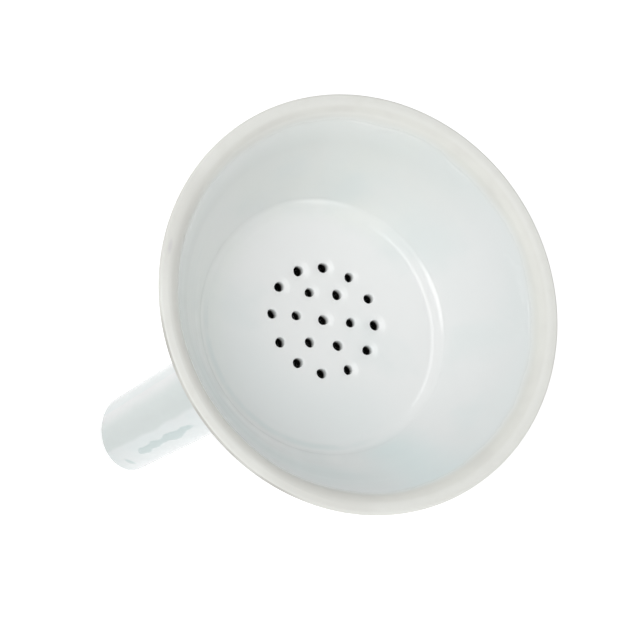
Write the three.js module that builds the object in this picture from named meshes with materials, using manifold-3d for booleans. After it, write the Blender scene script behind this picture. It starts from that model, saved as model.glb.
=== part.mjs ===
// A porcelain funnel for pour-over filtering: a conical bowl over a pierced filter plate, a collecting
// cone below the plate and a long stem with an oblique tip. The pieces are formed apart in clay, joined
// with slip and fired into one, so nothing moves.
//
// Millimetres, +Z up along the funnel's axis. The origin is on the axis where the outside of the
// collecting cone rests in a vessel's neck, and the stem's longest side faces +X.

import * as THREE from 'three';
import { mergeVertices } from 'three/addons/utils/BufferGeometryUtils.js';
import Module from 'manifold-3d';

const wasm = await Module();
wasm.setup();

// ---------------------------------------------------------------------------------------------------
// Driving dimensions, in millimetres and degrees
// ---------------------------------------------------------------------------------------------------

const mouthDiameter = 100; // across the outside of the lip, its widest point
const overallHeight = 185; // from the lip's flat top to the stem's lowest point
const coneAngle = 60; // full angle of the bowl and of the collecting cone
const wallThickness = 3.7; // of both cones, square to the wall
const neckSeatDiameter = 40; // of the vessel's neck that the collecting cone rests in

const lipHeight = 3; // depth of the bare lip below its flat top
const lipOuterRound = 0.8; // radius of the lip's outer edge
const lipInnerRound = 1.6; // radius of the lip's inner edge

const bowlDepth = 26; // from the lip's flat top to the filter plate
const plateThickness = 4.5;
const spigotHeight = 1.2; // how far the plate's middle stands up into the bowl's foot
const beadReach = 1.5; // of the slip bead, from the corner along the plate and along the wall
const beadTurn = 30; // how far the bead's hollow face turns

const innerRingDiameter = 14.3; // through the centres of the inner ring of holes
const innerRingHoles = 6;
const outerRingDiameter = 26.3; // through the centres of the outer ring of holes
const outerRingHoles = 12;
const holeDiameter = 2.2;
const ringPhase = 15; // from +X to the first hole of each ring
const patternShiftX = -0.2; // of the hand-pierced pattern's middle from the axis
const patternShiftY = 1.2;
const pierceStray = 0.28; // how far a hand-pierced hole strays from its ring
const strayStepOut = 1.3; // radians from one hole to the next in the stray along the radius
const strayStepRound = 1.55; // and in the stray round the ring

const stemTopDiameter = 23.4;
const stemTipDiameter = 21.5;
const boreDiameter = 15;
const boreFlare = 1.7; // least that the collecting cone's mouth is wider than the bore, on the radius
const tipBevel = 31; // between the tip's face and a square cut
const filletToe = 0.3; // thickness of the stem fillet where it fades out on the stem
const filletShoulder = 1.2; // least that it widens from there to the collecting cone's end

const seam = 0.3; // the slip joint between two pieces
const facets = 72; // round the large turned surfaces
const roundSteps = 4; // along each rounded edge
const holeFacets = 18;
const overrun = 10; // by which a cutting tool passes the surface that it cuts

// ---------------------------------------------------------------------------------------------------
// Values worked out from them
// ---------------------------------------------------------------------------------------------------

const radians = THREE.MathUtils.degToRad;
const halfAngle = radians(coneAngle / 2);
const slope = Math.tan(halfAngle);
const mouthRadius = mouthDiameter / 2;
const seatRadius = neckSeatDiameter / 2;
const boreRadius = boreDiameter / 2;
const stemTopRadius = stemTopDiameter / 2;
const stemTipRadius = stemTipDiameter / 2;
const wallAcross = wallThickness / Math.cos(halfAngle); // the cone's wall, measured level
const seamAcross = seam / Math.cos(halfAngle); // a slip joint along the cone, measured level

// The two cones share one outside line and one inside line, given here as radius at a height.
const outsideRadius = (z) => seatRadius + z * slope;
const insideRadius = (z) => outsideRadius(z) - wallAcross;
const outsideHeight = (radius) => (radius - seatRadius) / slope;
const insideHeight = (radius) => outsideHeight(radius + wallAcross);

// The outside line runs into the lip's outer round, whose widest point is the mouth.
const lipTangentRadius = mouthRadius - lipOuterRound * (1 - Math.cos(halfAngle));
const lipTangentZ = outsideHeight(lipTangentRadius);
const rimZ = lipTangentZ + lipOuterRound * (1 + Math.sin(halfAngle));
const lipBottomZ = rimZ - lipHeight;

const plateTopZ = rimZ - bowlDepth;
const flangeTopZ = plateTopZ - spigotHeight;
const plateBottomZ = plateTopZ - plateThickness;
const floorRadius = insideRadius(plateTopZ) - beadReach; // of the plate's clear top

// The collecting cone ends where it is wide enough for the fillet outside and for the bore inside.
const throatForFillet = stemTopRadius + seam + filletToe + filletShoulder;
const throatForBore = boreRadius + boreFlare + wallAcross;
const throatZ = outsideHeight(Math.max(throatForFillet, throatForBore));

const tipZ = rimZ - overallHeight;
const tipMiddleZ = tipZ + stemTipRadius * Math.tan(radians(tipBevel));

// ---------------------------------------------------------------------------------------------------
// Shape helpers
// ---------------------------------------------------------------------------------------------------

// Points after start on the arc to end that turns left by turn radians, or right where turn is negative.
function arcTo(start, end, turn, steps = roundSteps) {
  const across = end[0] - start[0];
  const up = end[1] - start[1];
  const chord = Math.hypot(across, up);
  const bearing = Math.atan2(up, across);
  return Array.from({ length: steps }, (_, i) => {
    const share = (i + 1) / steps;
    const reach = (chord * Math.sin((share * turn) / 2)) / Math.sin(turn / 2);
    const angle = bearing + ((share - 1) * turn) / 2;
    return [start[0] + reach * Math.cos(angle), start[1] + reach * Math.sin(angle)];
  });
}

// Keeps positions alone, merges shared vertices and drops the triangles that collapse on the axis.
function closedMesh(geometry) {
  geometry.deleteAttribute('normal');
  geometry.deleteAttribute('uv');
  const merged = mergeVertices(geometry);
  const index = merged.index.array;
  const kept = [];
  for (let i = 0; i < index.length; i += 3) {
    const [a, b, c] = index.subarray(i, i + 3);
    if (a !== b && b !== c && c !== a) kept.push(a, b, c);
  }
  merged.setIndex(kept);
  return merged;
}

// Turns an outline of [radius, height] points, which runs anticlockwise, round the Z axis.
function turned(outline) {
  const points = outline.map(([radius, height]) => new THREE.Vector2(radius, height));
  const geometry = new THREE.LatheGeometry(points, facets);
  geometry.rotateX(Math.PI / 2);
  return closedMesh(geometry);
}

// A ring's outline closes on itself.
const turnedRing = (outline) => turned([...outline, outline[0]]);

function toSolid(geometry) {
  const { position } = geometry.attributes;
  const vertProperties = new Float32Array(position.array);
  const triVerts = new Uint32Array(geometry.index.array);
  return new wasm.Manifold(new wasm.Mesh({ numProp: 3, vertProperties, triVerts }));
}

function toGeometry(solid) {
  const mesh = solid.getMesh();
  const geometry = new THREE.BufferGeometry();
  geometry.setAttribute('position', new THREE.BufferAttribute(mesh.vertProperties, 3));
  geometry.setIndex(new THREE.BufferAttribute(mesh.triVerts, 1));
  return geometry;
}

// ---------------------------------------------------------------------------------------------------
// Finishes
// ---------------------------------------------------------------------------------------------------

const glazed = () => new THREE.MeshStandardMaterial({ color: 0xdfe7e6, roughness: 0.12, metalness: 0 });
const bare = () => new THREE.MeshStandardMaterial({ color: 0xe6e4dc, roughness: 0.7, metalness: 0 });

function piece(name, geometry, material) {
  const mesh = new THREE.Mesh(geometry, material);
  mesh.name = name;
  return mesh;
}

// ---------------------------------------------------------------------------------------------------
// Pieces
// ---------------------------------------------------------------------------------------------------

// The ground, unglazed lip: a flat land between two rounded edges, on top of the bowl's wall.
function rimLip() {
  const corner = insideRadius(rimZ);
  const roundReach = lipInnerRound * Math.tan((Math.PI / 2 - halfAngle) / 2);
  const outerTangent = [lipTangentRadius, lipTangentZ];
  const landOuter = [mouthRadius - lipOuterRound, rimZ];
  const landInner = [corner + roundReach, rimZ];
  const innerTangent = [corner - roundReach * Math.sin(halfAngle), rimZ - roundReach * Math.cos(halfAngle)];
  return turnedRing([
    [outsideRadius(lipBottomZ), lipBottomZ],
    outerTangent,
    ...arcTo(outerTangent, landOuter, Math.PI / 2 + halfAngle),
    landInner,
    ...arcTo(landInner, innerTangent, Math.PI / 2 - halfAngle),
    [insideRadius(lipBottomZ), lipBottomZ],
  ]);
}

// A straight stretch of the conical wall between two heights.
function coneWall(bottomZ, topZ) {
  return turnedRing([
    [outsideRadius(bottomZ), bottomZ],
    [outsideRadius(topZ), topZ],
    [insideRadius(topZ), topZ],
    [insideRadius(bottomZ), bottomZ],
  ]);
}

// The slip bead in the corner between the plate and the bowl's wall, with a shallow hollow face.
function plateFillet() {
  const bottomZ = flangeTopZ + seam;
  const topZ = plateTopZ + beadReach * Math.cos(halfAngle);
  const wallSide = (z) => insideRadius(z) - seamAcross;
  const top = [wallSide(topZ), topZ];
  const toe = [floorRadius, plateTopZ];
  return turnedRing([
    [wallSide(bottomZ), bottomZ],
    top,
    ...arcTo(top, toe, -radians(beadTurn)),
    [floorRadius, bottomZ],
  ]);
}

// The middles of the pierced holes, about the axis: one in the middle and two rings round it. Each ring
// hole strays a little out or in, and a little round its ring, as hand piercing leaves it.
function holeMiddles() {
  const middles = [[patternShiftX, patternShiftY]];
  const rings = [
    [innerRingDiameter / 2, innerRingHoles],
    [outerRingDiameter / 2, outerRingHoles],
  ];
  for (const [ringRadius, count] of rings) {
    for (let i = 0; i < count; i += 1) {
      const order = middles.length;
      const radius = ringRadius - pierceStray * Math.cos(strayStepOut * order);
      const strayRound = (pierceStray * Math.cos(strayStepRound * order)) / ringRadius;
      const angle = radians(ringPhase + (360 * i) / count) - strayRound;
      middles.push([patternShiftX + radius * Math.cos(angle), patternShiftY + radius * Math.sin(angle)]);
    }
  }
  return middles;
}

// The filter plate, drawn below its own top: a pierced middle that fits in the bowl's foot, and a flange
// round it between the bowl and the collecting cone.
function filterPlate() {
  const spigotRadius = floorRadius - seam;
  let plate = toSolid(
    turned([
      [0, -plateThickness],
      [outsideRadius(plateBottomZ), -plateThickness],
      [outsideRadius(flangeTopZ), -spigotHeight],
      [spigotRadius, -spigotHeight],
      [spigotRadius, 0],
      [0, 0],
    ]),
  );
  for (const [x, y] of holeMiddles()) {
    const length = plateThickness + 2 * overrun;
    const drill = new THREE.CylinderGeometry(holeDiameter / 2, holeDiameter / 2, length, holeFacets);
    drill.rotateX(Math.PI / 2);
    drill.translate(x, y, -plateThickness / 2);
    plate = plate.subtract(toSolid(closedMesh(drill)));
  }
  return toGeometry(plate);
}

// The fillet of slip round the stem, under the collecting cone's end.
function stemFillet() {
  const topZ = throatZ - seam;
  const innerRadius = stemTopRadius + seam;
  const toeRadius = innerRadius + filletToe;
  const shoulder = [outsideRadius(topZ), topZ];
  const height = ((shoulder[0] - toeRadius) * Math.sin(halfAngle)) / (1 - Math.cos(halfAngle));
  const toe = [toeRadius, topZ - height];
  return turnedRing([
    [innerRadius, toe[1]],
    toe,
    ...arcTo(toe, shoulder, -halfAngle),
    [innerRadius, topZ],
  ]);
}

// The stem, a tapered tube whose bore opens at the top to the inside of the collecting cone. The tip is
// cut off at a slant, with the longest side towards +X.
function stem() {
  const topZ = throatZ - seam;
  const blankZ = tipZ - overrun;
  const taper = (stemTopRadius - stemTipRadius) / (topZ - tipMiddleZ);
  const tube = toSolid(
    turnedRing([
      [stemTopRadius - taper * (topZ - blankZ), blankZ],
      [stemTopRadius, topZ],
      [insideRadius(topZ), topZ],
      [boreRadius, insideHeight(boreRadius)],
      [boreRadius, blankZ],
    ]),
  );
  const cutterSize = stemTopDiameter + 4 * overrun;
  const cutter = new THREE.BoxGeometry(cutterSize, cutterSize, cutterSize);
  cutter.translate(0, 0, -cutterSize / 2);
  cutter.rotateY(radians(tipBevel));
  cutter.translate(0, 0, tipMiddleZ);
  return toGeometry(tube.subtract(toSolid(closedMesh(cutter))));
}

// ---------------------------------------------------------------------------------------------------
// The funnel
// ---------------------------------------------------------------------------------------------------

const plate = piece('filter_plate', filterPlate(), glazed());
plate.position.z = plateTopZ;

const bowl = new THREE.Group();
bowl.add(piece('rim_lip', rimLip(), bare()));
bowl.add(piece('bowl_wall', coneWall(flangeTopZ + seam, lipBottomZ - seam), glazed()));
bowl.add(piece('plate_fillet', plateFillet(), glazed()));
bowl.add(plate);

const outlet = new THREE.Group();
outlet.add(piece('collector_cone', coneWall(throatZ, plateBottomZ - seam), glazed()));
outlet.add(piece('stem_fillet', stemFillet(), glazed()));
outlet.add(piece('stem', stem(), glazed()));

const funnel = new THREE.Group();
funnel.add(bowl, outlet);

export default funnel;
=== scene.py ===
"""A porcelain pour-over funnel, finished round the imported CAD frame.

The funnel is a 60 degree cone with a bare ground lip, a pierced plate held by a bead of slip, a collecting
cone and a long stem with an oblique tip. Every visible piece is a fine closed mesh whose sizes are read from
the CAD nodes. All glazed pieces share one glaze laid out by position, so it runs on from piece to piece.
"""

from functools import partial, reduce
from math import atan2, cos, hypot, pi, radians, sin, sqrt, tan

import bpy
import numpy as np
from mathutils import Matrix, Vector, noise
from mathutils.geometry import delaunay_2d_cdt


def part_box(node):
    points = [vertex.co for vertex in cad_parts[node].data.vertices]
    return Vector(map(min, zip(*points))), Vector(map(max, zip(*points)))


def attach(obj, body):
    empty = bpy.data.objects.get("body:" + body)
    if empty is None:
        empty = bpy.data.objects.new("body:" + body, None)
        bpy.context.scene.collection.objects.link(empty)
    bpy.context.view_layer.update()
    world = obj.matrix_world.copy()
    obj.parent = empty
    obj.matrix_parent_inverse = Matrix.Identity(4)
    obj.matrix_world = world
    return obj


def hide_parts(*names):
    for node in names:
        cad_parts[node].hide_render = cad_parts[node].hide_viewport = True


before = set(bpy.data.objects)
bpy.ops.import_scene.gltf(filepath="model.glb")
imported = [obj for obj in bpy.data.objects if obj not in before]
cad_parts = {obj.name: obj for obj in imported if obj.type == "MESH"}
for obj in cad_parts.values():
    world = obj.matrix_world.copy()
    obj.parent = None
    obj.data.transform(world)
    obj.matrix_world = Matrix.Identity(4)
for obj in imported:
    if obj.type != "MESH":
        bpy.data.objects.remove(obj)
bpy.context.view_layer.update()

MM = 0.001

# ---- Sizes read from the frame, in metres ----


def cad_points(node):
    """The vertices of a CAD node, one row each."""
    return np.array([v.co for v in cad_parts[node].data.vertices], float)


def radii(points):
    """How far each point lies from the funnel's axis."""
    return np.hypot(points[:, 0], points[:, 1])


def azimuths(points):
    """How far round the axis each point lies, in radians from -pi to pi."""
    return np.arctan2(points[:, 1], points[:, 0])


RIM_LOW, RIM_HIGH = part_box("rim_lip")
WALL_LOW, WALL_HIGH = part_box("bowl_wall")
PLATE_LOW, PLATE_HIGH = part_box("filter_plate")
CONE_LOW, CONE_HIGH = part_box("collector_cone")
FILLET_LOW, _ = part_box("stem_fillet")
STEM_LOW, STEM_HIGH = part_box("stem")

RIM_Z = RIM_HIGH.z
MOUTH_RADIUS = RIM_HIGH.x
LIP_BOTTOM_Z = RIM_LOW.z
PLATE_TOP_Z = PLATE_HIGH.z
PLATE_BOTTOM_Z = PLATE_LOW.z
THROAT_Z = CONE_LOW.z  # where the collecting cone meets the stem
TIP_Z = STEM_LOW.z
SLOPE = (WALL_HIGH.x - CONE_HIGH.x) / (WALL_HIGH.z - CONE_HIGH.z)  # how fast the cones widen with height
LEAN = atan2(SLOPE, 1)  # of the cones' sides from upright
FLOOR_RADIUS = radii(cad_points("plate_fillet")).min()  # of the plate's level top inside the bead
BORE_RADIUS = radii(cad_points("stem")).min()
STEM_TOP_RADIUS = STEM_HIGH.x


def outside_radius(z):
    """The radius of the cones' outside line at a height."""
    return WALL_HIGH.x + SLOPE * (z - WALL_HIGH.z)


def outside_height(radius):
    """The height of the cones' outside line at a radius."""
    return WALL_HIGH.z + (radius - WALL_HIGH.x) / SLOPE


WALL_ACROSS = outside_radius(WALL_LOW.z) - radii(cad_points("bowl_wall")).min()  # level, through the wall
FLANGE_TOP_Z = outside_height(PLATE_HIGH.x)  # the plate's flange comes out to the outside line


def inside_radius(z):
    """The radius of the cones' inside line at a height."""
    return outside_radius(z) - WALL_ACROSS


def tip_face():
    """The middle height of the stem's oblique tip, its radius there, and its fall towards +X."""
    points = cad_points("stem")
    tip = points[points[:, 2] < (TIP_Z + THROAT_Z) / 2]
    lowest = tip[tip[:, 2].argmin()]
    highest = tip[tip[:, 2].argmax()]
    fall = (highest[2] - lowest[2]) / (lowest[0] - highest[0])
    return lowest[2] + fall * lowest[0], lowest[0], fall


TIP_MIDDLE_Z, TIP_RADIUS, TIP_FALL = tip_face()
LEVEL_WITHIN = 1e-6  # corners of the plate's top are this near its height
FLANGE_EDGE = 1 * MM  # corners this near the plate's widest radius belong to its edge
HOLE_SPAN = 3 * MM  # corners of one hole lie within this of each other


def cad_holes():
    """The middles and radii of the pierced holes, from the corners of the plate's top inside its edge."""
    points = cad_points("filter_plate")
    top = points[points[:, 2] > PLATE_TOP_Z - LEVEL_WITHIN]
    inner = top[radii(top) < radii(top).max() - FLANGE_EDGE][:, :2]
    holes = []
    while len(inner):
        near = np.linalg.norm(inner - inner[0], axis=1) < HOLE_SPAN
        group = inner[near]
        middle = (group.min(0) + group.max(0)) / 2
        holes.append((middle, np.linalg.norm(group - middle, axis=1).mean()))
        inner = inner[~near]
    return holes


HOLES = cad_holes()

# ---- What the hand and the kiln leave ----

AROUND = 480  # steps round the large turned surfaces
MOUTH_INSET = 0.10 * MM  # keeps the fired mouth inside its nominal size
MOUTH_REACH = 12 * MM  # below the mouth, over which the inset fades in and the waves fade out
OUT_OF_ROUND = 0.07 * MM
RING_PITCH = 6.4 * MM  # between throwing rings
RING_DEPTH = 0.014 * MM
RING_FADE = 6 * MM  # they fade out over this below the lip
WAVE_DEPTH = 0.05 * MM  # broad unevenness all over the cones
WAVE_SIZE = 17 * MM
CONE_FADE = 20 * MM  # rings and waves fade in over this above the throat
LUTING_Z = (FLANGE_TOP_Z + PLATE_BOTTOM_Z) / 2
LUTING_SWELL = 0.28 * MM  # how far the slip stands proud where bowl, plate and cone were joined
LUTING_SPREAD = 2.4 * MM
LUTING_SIZE = 9 * MM  # of its unevenness


def smooth(x):
    """0 below 0, 1 above 1 and an even S between."""
    x = np.clip(x, 0, 1)
    return x * x * (3 - 2 * x)


def ripple(points, size, seed):
    """Smooth noise from about -1 to 1 at each point, with features about size metres wide."""
    start = Vector((seed, 1.7 * seed, 2.3 * seed))
    return np.array([noise.noise(Vector(p) / size + start) for p in points])


def out_of_round(theta, z):
    """How far the clay has warped from round in the kiln: most at the mouth, nothing at the stem."""
    share = np.clip((z - THROAT_Z) / (RIM_Z - THROAT_Z), 0, 1)
    waves = 0.6 * np.cos(2 * theta - 0.7) + 0.4 * np.cos(3 * theta + 1.9)
    return OUT_OF_ROUND * share * waves


def throwing_rings(theta, z, phase):
    """Shallow spiral rings that the thrower's fingers leave, fading out below the lip."""
    turn = 2 * pi * z / RING_PITCH + theta + phase
    uneven = 0.6 + 0.4 * np.sin(2 * theta + 9 * z / RING_PITCH)
    fade = np.clip((LIP_BOTTOM_Z - z) / RING_FADE, 0, 1)
    return RING_DEPTH * uneven * fade * np.sin(turn)


def moved_out(points, shift):
    """Points moved away from the axis by shift metres, or towards it where that is negative."""
    radius = radii(points)
    scale = (radius + shift) / np.maximum(radius, 1e-9)
    return points * np.column_stack([scale, scale, np.ones_like(scale)])


def hand_made(points, inside):
    """Moves turned points along their radius. inside is 1 on an inner face and 0 on an outer one."""
    theta = azimuths(points)
    z = points[:, 2]
    near_mouth = np.clip((z - LIP_BOTTOM_Z + MOUTH_REACH) / MOUTH_REACH, 0, 1)
    on_cone = np.clip((z - THROAT_Z) / CONE_FADE, 0, 1)
    below_rim = smooth((RIM_Z - z) / MOUTH_REACH)
    waves = WAVE_DEPTH * ripple(points, WAVE_SIZE, seed=3.0)
    luting = np.exp(-(((z - LUTING_Z) / LUTING_SPREAD) ** 2))
    luting *= 1 + 0.5 * ripple(points, LUTING_SIZE, seed=8.0)
    shift = out_of_round(theta, z) - near_mouth * MOUTH_INSET
    shift += throwing_rings(theta, z, 2.0 * inside) * on_cone
    shift += waves * on_cone * below_rim
    shift += LUTING_SWELL * luting * (1 - inside)
    return moved_out(points, shift)


# ---- Shape helpers ----


def between(start, end, shares):
    """Points at some shares of the way from start to end."""
    start = np.array(start, float)
    return [tuple(start + (np.array(end, float) - start) * share) for share in shares]


def line(start, end, step):
    """Points after start on the way to end, about a step apart."""
    length = hypot(end[0] - start[0], end[1] - start[1])
    count = max(1, round(length / step))
    return between(start, end, [(i + 1) / count for i in range(count)])


def arc(start, end, turn, count):
    """Points after start on the arc to end. It turns left by turn radians, or right if that is negative."""
    across = end[0] - start[0]
    up = end[1] - start[1]
    chord = hypot(across, up)
    bearing = atan2(up, across)
    points = []
    for i in range(count):
        share = (i + 1) / count
        reach = chord * sin(share * turn / 2) / sin(turn / 2)
        angle = bearing + (share - 1) * turn / 2
        points.append((start[0] + reach * cos(angle), start[1] + reach * sin(angle)))
    return points


def circle(radius, z, around=AROUND):
    """A level ring of points round the axis."""
    theta = 2 * pi * np.arange(around) / around
    return np.column_stack([radius * np.cos(theta), radius * np.sin(theta), np.full(around, z)])


def strip(a, b):
    """Quads between two rings of vertex numbers that run the same way."""
    return np.column_stack([a, np.roll(a, -1), np.roll(b, -1), b]).tolist()


def turned(outline, around=AROUND):
    """Vertices and faces of a closed outline of (radius, height) points, turned round the axis."""
    points = np.vstack([circle(radius, z, around) for radius, z in outline])
    rings = np.arange(len(points)).reshape(-1, around)
    faces = []
    for index, ring in enumerate(rings):
        faces += strip(ring, rings[(index + 1) % len(rings)])
    return points, faces


def shaped(outline, inside):
    """A turned outline with the hand's marks. inside says for each point which side of the wall it is on."""
    points, faces = turned(outline)
    return hand_made(points, np.repeat(inside, AROUND)), faces


def add_object(name, data):
    """A new object in the scene."""
    obj = bpy.data.objects.new(name, data)
    bpy.context.scene.collection.objects.link(obj)
    return obj


SHARP_ANGLE = radians(40)


def build(name, points, faces, node, materials, darker=(), marks=None):
    """A smooth closed mesh that stands for a CAD node, its sharp corners kept.
    The faces numbered in darker take the second material. marks holds a number for each point, by name."""
    mesh = bpy.data.meshes.new(name)
    mesh.from_pydata([tuple(p) for p in points], [], faces)
    assert not mesh.validate()
    mesh.polygons.foreach_set("use_smooth", [True] * len(mesh.polygons))
    for material in materials:
        mesh.materials.append(material)
    for index in darker:
        mesh.polygons[index].material_index = 1
    mesh.set_sharp_from_angle(angle=SHARP_ANGLE)
    for mark, values in (marks or {}).items():
        mesh.attributes.new(mark, "FLOAT", "POINT").data.foreach_set("value", np.asarray(values, float))
    obj = add_object(name, mesh)
    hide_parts(node)
    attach(obj, "root")


# ---- Materials ----


class Nodes:
    """Short calls for the nodes of one shader tree."""

    def __init__(self, tree):
        self.tree = tree

    def feed(self, socket, value):
        """Links another node's output to a socket, or sets the socket's own value."""
        if isinstance(value, bpy.types.NodeSocket):
            self.tree.links.new(value, socket)
        else:
            socket.default_value = value

    def node(self, kind, inputs=None, **settings):
        """A new node with its settings made and its inputs fed, by name or by number."""
        node = self.tree.nodes.new("ShaderNode" + kind)
        for setting, value in settings.items():
            setattr(node, setting, value)
        for socket, value in (inputs or {}).items():
            self.feed(node.inputs[socket], value)
        return node

    def math(self, operation, *values):
        return self.node("Math", dict(enumerate(values)), operation=operation).outputs["Value"]

    def times(self, *values):
        """The product of several numbers."""
        return reduce(partial(self.math, "MULTIPLY"), values)

    def greatest(self, *values):
        return reduce(partial(self.math, "MAXIMUM"), values)

    def opposite(self, value):
        """1 where value is 0, and 0 where it is 1."""
        return self.math("SUBTRACT", 1.0, value)

    def range(self, value, start, end, low=0.0, high=1.0):
        """An S-shaped step from low, where value is at start, to high, where it is at end."""
        inputs = {"Value": value, "From Min": start, "From Max": end, "To Min": low, "To Max": high}
        return self.node("MapRange", inputs, interpolation_type="SMOOTHSTEP").outputs["Result"]

    def near(self, value, middle, spread):
        """1 where value is at middle, falling to 0 at spread from it."""
        away = self.math("ABSOLUTE", self.math("SUBTRACT", value, middle))
        return self.range(away, spread, 0.0)

    def mix(self, factor, a, b):
        """A colour from a, where factor is 0, to b, where it is 1."""
        return self.node("Mix", {"Factor": factor, 6: a, 7: b}, data_type="RGBA").outputs[2]

    def blend(self, factor, a, b):
        """A number from a, where factor is 0, to b, where it is 1."""
        return self.node("Mix", {"Factor": factor, 2: a, 3: b}).outputs[0]


class SurfaceNodes(Nodes):
    """The nodes of a new material, all laid out by position in the row frame."""

    def __init__(self, name):
        self.material = bpy.data.materials.new(name)
        self.material.use_nodes = True
        super().__init__(self.material.node_tree)
        self.shader = self.tree.nodes["Principled BSDF"]
        self.place = self.node("NewGeometry").outputs["Position"]
        self.x, self.y, self.z = self.node("SeparateXYZ", {"Vector": self.place}).outputs
        # A place's distance from the axis, in metres, and its azimuth, in degrees from -180 to 180.
        squares = self.math("ADD", self.times(self.x, self.x), self.times(self.y, self.y))
        self.radius = self.math("SQRT", squares)
        self.angle = self.times(self.math("ARCTAN2", self.y, self.x), 180 / pi)

    def noise(self, size, detail=2.0, place=None):
        """Noise whose features are about size metres, at each position unless another place is given."""
        inputs = {"Vector": self.place if place is None else place, "Scale": 1 / size, "Detail": detail}
        return self.node("TexNoise", inputs).outputs["Fac"]

    def streaks(self, count, length):
        """Noise in streaks length metres long that run down the surface: about count all round."""
        x = self.math("DIVIDE", self.x, self.radius)
        y = self.math("DIVIDE", self.y, self.radius)
        z = self.times(self.z, 2 * pi / (count * length))
        place = self.node("CombineXYZ", {"X": x, "Y": y, "Z": z}).outputs["Vector"]
        return self.noise(2 * pi / count, place=place)

    def patches(self, kind, low=0.0, high=1.0):
        """Soft patches of a kind: low between them and high inside them."""
        size, detail, start, end = kind
        return self.range(self.noise(size, detail), start, end, low, high)

    def towards(self, side, low=0.0, high=1.0):
        """From low to high as a place lies further round towards a side."""
        azimuth, start, end = side
        turn = radians(azimuth)
        across = self.math("ADD", self.times(self.x, cos(turn)), self.times(self.y, sin(turn)))
        return self.range(self.math("DIVIDE", across, self.radius), start, end, low, high)

    def wavering(self, value, size, amount):
        """value moved up or down by up to amount, with waves about size metres long."""
        shift = self.math("MULTIPLY_ADD", self.noise(size, 1.0), 2 * amount, -amount)
        return self.math("ADD", value, shift)

    def mark(self, name):
        """The numbers that build laid on the points under a name."""
        return self.node("Attribute", attribute_name=name).outputs["Fac"]

    def bump(self, height, distance, normal=None):
        """The normal of a surface raised by height times distance metres, on another normal if given."""
        inputs = {"Height": height, "Distance": distance, "Strength": 1.0}
        if normal is not None:
            inputs["Normal"] = normal
        return self.node("Bump", inputs).outputs["Normal"]


# Colours, in linear light.
GLAZE = (0.798, 0.814, 0.812, 1)
# Painted light: a lighter glaze laid low on the wall, on its shaded side and below the lip.
GLAZE_LIGHTENED = (0.898, 0.904, 0.896, 1)
# Painted shade: a greener glaze for the tint of the wall's shaded side, lighter where light is painted low
# down.
GLAZE_GREEN_SHADE = (0.783, 0.812, 0.783, 1)
GLAZE_GREEN_SHADE_LIGHTENED = (0.872, 0.900, 0.872, 1)
# Pooled glaze, and painted shade where it darkens a patch below the lip, the plate's low side and the wall's
# foot.
GLAZE_POOLED_AND_SHADE = (0.722, 0.784, 0.780, 1)
GLAZE_COOL = (0.735, 0.812, 0.812, 1)
# Painted shade: a greyer glaze down the stem's front.
GLAZE_FRONT_SHADE = (0.650, 0.715, 0.700, 1)
# Thick glaze in the stem's run, its darkness partly a painted reflection.
GLAZE_DEEP_AND_REFLECTION = (0.540, 0.645, 0.640, 1)
# Painted light: the level land is lighter than its shoulder, for the light it catches.
LAND_LIT = (0.800, 0.806, 0.768, 1)
BARE = (0.764, 0.768, 0.724, 1)
BARE_GREY = (0.720, 0.718, 0.680, 1)
# Painted light: a lighter bare body for the lip's shoulder on one side.
BARE_LIT = (0.820, 0.824, 0.784, 1)
SCAR = (0.640, 0.628, 0.632, 1)
# Painted shade: the lip's outermost edge, standing for the shaded outside wall seen edge-on.
EDGE_SHADE = (0.520, 0.512, 0.480, 1)
# Painted shade: near black down the holes' walls.
HOLE_SHADE = (0.012, 0.010, 0.007, 1)
GLAZE_ROUGHNESS = (0.08, 0.14)
BARE_ROUGHNESS = (0.50, 0.68)
GLAZE_IOR = 1.5
PEEL_SIZE = 3.0 * MM  # of the glaze's faint orange peel
PEEL_HEIGHT = 0.006 * MM
GRAIN_SIZE = 0.35 * MM  # of the bare body's grit
GRAIN_HEIGHT = 0.012 * MM
ROLL_HEIGHT = 0.14 * MM  # of the low roll along the glaze's edge

# Sides of the funnel: an azimuth in degrees, and how far round to it a change starts and is complete, where 1
# is on it and -1 is opposite.
LIGHTENED_SIDE = (230, 0.0, 0.9)  # painted light lightens the wall's glaze most on this side, its shaded one
LIT_LIP_SIDE = (138, 0.3, 0.85)  # painted light lightens the glaze below the lip and the lip's bare shoulder on this side
GREEN_SHADE_SIDE = (150, -0.4, 0.6)  # painted shade tints the glaze greener on the wall's shaded side
TOE_SIDE = (252, 0.2, 0.9)  # glaze has pooled along the wall's foot, deepened there by painted crease shade
PLATE_SHADE_SIDE = (260, 0.0, 0.9)  # painted shade darkens the plate a little on this side
SHADE_PATCH_SIDE = (258, 0.5, 0.95)  # painted shade darkens a patch below the lip
ROLLED_SIDE = (50, 0.3, 0.8)  # the glaze's edge stands up in a low roll
EDGE_SHADE_SIDE = (236, 0.80, 0.93)  # painted shade darkens the lip's outermost edge on this side
DULL_SIDES = ((272, 0.94, 0.99), (178, 0.95, 0.99))  # two short stretches of the lip are duller

# Soft patches: their size in metres, how fine their detail is, and the noise where they start and are full.
CLOUDS = (22 * MM, 3.0, 0.45, 0.70)
GREEN_PATCHES = (26 * MM, 2.0, 0.25, 0.60)
TOE_PATCHES = (9 * MM, 2.0, 0.30, 0.55)
COOL_PATCHES = (12 * MM, 2.0, 0.30, 0.65)
ROLLED_PATCHES = (11 * MM, 2.0, 0.50, 0.62)
GREY_PATCHES = (9 * MM, 5.0, 0.42, 0.75)
LAND_PATCHES = (4 * MM, 4.0, 0.45, 0.75)
EDGE_SHADE_PATCHES = (10 * MM, 2.0, 0.35, 0.6)
GLAZE_SHEEN = (7 * MM, 3.0, 0.3, 0.7)
BARE_SHEEN = (1.5 * MM, 3.0, 0.3, 0.7)

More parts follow.
